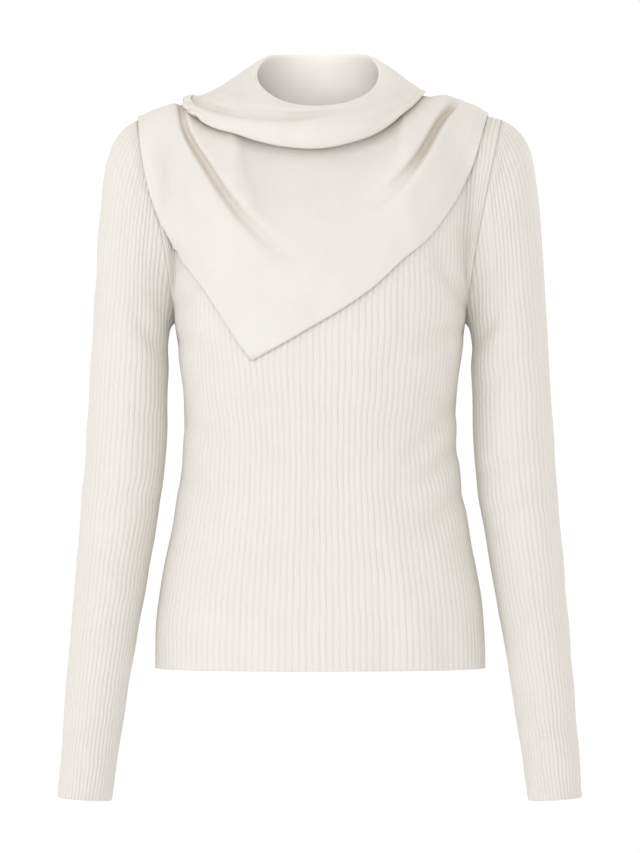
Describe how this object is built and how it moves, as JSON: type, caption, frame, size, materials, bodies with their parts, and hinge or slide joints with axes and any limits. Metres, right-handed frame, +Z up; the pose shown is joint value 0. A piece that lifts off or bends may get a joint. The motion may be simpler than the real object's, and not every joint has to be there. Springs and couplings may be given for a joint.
{
  "type": "wool sweater",
  "caption": "Fitted rib-knit wool sweater with long sleeves and a draped scarf collar in plain knit, hollow and filled out as worn.",
  "frame": {"origin": "middle of the base of the neck, level with the shoulder line, where the wearer holds the garment up", "axes": "+Z up, front faces -Y, +X to the viewer's right (the wearer's left)"},
  "size_m": [0.4958, 0.2392, 0.7076],
  "materials": {
    "rib_knit": "matt ivory wool, fine vertical ribs",
    "plain_knit": "matt ivory wool, fine plain stitch"
  },
  "bodies": {
    "root": {"front": "rib_knit", "back": "rib_knit", "sleeve_left": "rib_knit", "sleeve_right": "rib_knit", "scarf_collar": "plain_knit", "scarf_drape": "plain_knit"}
  },
  "joints": []
}
